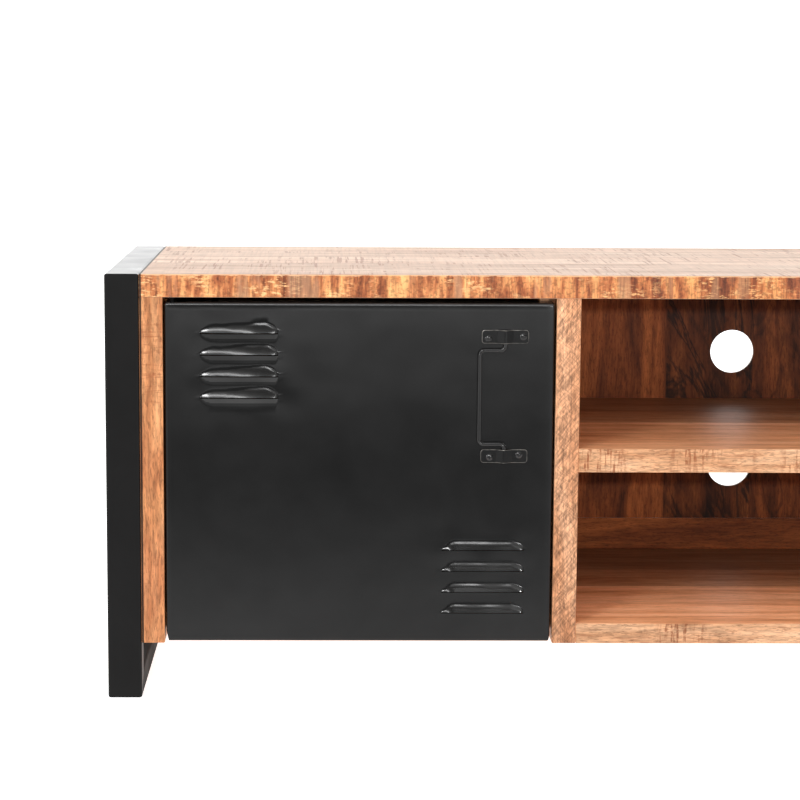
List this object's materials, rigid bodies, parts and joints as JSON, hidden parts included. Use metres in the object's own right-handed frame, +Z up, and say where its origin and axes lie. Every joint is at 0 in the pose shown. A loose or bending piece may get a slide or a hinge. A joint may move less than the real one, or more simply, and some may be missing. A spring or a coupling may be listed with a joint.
{
  "type": "tv stand",
  "caption": "Low wooden television stand hung between two steel end frames, with louvred steel doors, swinging handles and an open middle bay with a shelf.",
  "frame": {"origin": "on the floor, under the middle of the bounding box of the whole stand, handles counted", "axes": "+X to the right seen from the front, +Y towards the back, +Z up; the doors face -Y"},
  "size_m": [1.6, 0.4568, 0.5],
  "materials": {
    "top_wood": "rough-sawn hardwood, clear matt lacquer",
    "board_wood": "planed hardwood, clear satin lacquer",
    "back_wood": "dark-streaked hardwood, clear satin lacquer",
    "frame_steel": "black powder coat, fine texture",
    "door_steel": "black semi-gloss paint on hand-formed sheet",
    "handle_steel": "black semi-gloss paint",
    "pivot_steel": "black zinc",
    "fastener_steel": "yellow-grey zinc"
  },
  "bodies": {
    "carcass": {"left_bay_back": "back_wood", "left_bay_bottom": "board_wood", "left_bottom_rail": "frame_steel", "left_corner_block": "board_wood", "left_divider": "board_wood", "left_door_magnet": "fastener_steel", "left_front_leg": "frame_steel", "left_leg_screws": "fastener_steel", "left_lower_pivot_pin": "pivot_steel", "left_lower_pivot_plate": "pivot_steel", "left_lower_pivot_screws": "fastener_steel", "left_rear_leg": "frame_steel", "left_side_panel": "board_wood", "left_top_rail": "frame_steel", "left_upper_pivot_pin": "pivot_steel", "left_upper_pivot_plate": "pivot_steel", "left_upper_pivot_screws": "fastener_steel", "middle_back_panel": "back_wood", "middle_back_rail": "back_wood", "middle_bottom_board": "board_wood", "middle_shelf": "board_wood", "right_bay_back": "back_wood", "right_bay_bottom": "board_wood", "right_bottom_rail": "frame_steel", "right_corner_block": "board_wood", "right_divider": "board_wood", "right_door_magnet": "fastener_steel", "right_front_leg": "frame_steel", "right_leg_screws": "fastener_steel", "right_lower_pivot_pin": "pivot_steel", "right_lower_pivot_plate": "pivot_steel", "right_lower_pivot_screws": "fastener_steel", "right_rear_leg": "frame_steel", "right_side_panel": "board_wood", "right_top_rail": "frame_steel", "right_upper_pivot_pin": "pivot_steel", "right_upper_pivot_plate": "pivot_steel", "right_upper_pivot_screws": "fastener_steel", "top_board": "top_wood"},
    "left_door": {"left_door_panel": "door_steel", "left_handle_screws": "handle_steel", "left_lower_handle_clip": "handle_steel", "left_pivot_bushes": "pivot_steel", "left_upper_handle_clip": "handle_steel"},
    "right_door": {"right_door_panel": "door_steel", "right_handle_screws": "handle_steel", "right_lower_handle_clip": "handle_steel", "right_pivot_bushes": "pivot_steel", "right_upper_handle_clip": "handle_steel"},
    "left_handle": {"left_handle_bail": "handle_steel"},
    "right_handle": {"right_handle_bail": "handle_steel"}
  },
  "joints": [
    {"name": "left_door_hinge", "type": "hinge", "parent": "carcass", "child": "left_door", "pos_m": [-0.722, -0.21606, 0.26725], "axis": [0, 0, -1], "range_deg": [0, 110]},
    {"name": "right_door_hinge", "type": "hinge", "parent": "carcass", "child": "right_door", "pos_m": [0.722, -0.21606, 0.26725], "axis": [0, 0, 1], "range_deg": [0, 110]},
    {"name": "left_handle_swing", "type": "hinge", "parent": "left_door", "child": "left_handle", "pos_m": [-0.3375, -0.22436, 0.3583], "axis": [0, 0, 1], "range_deg": [0, 180]},
    {"name": "right_handle_swing", "type": "hinge", "parent": "right_door", "child": "right_handle", "pos_m": [0.3375, -0.22436, 0.3583], "axis": [0, 0, -1], "range_deg": [0, 180]}
  ]
}
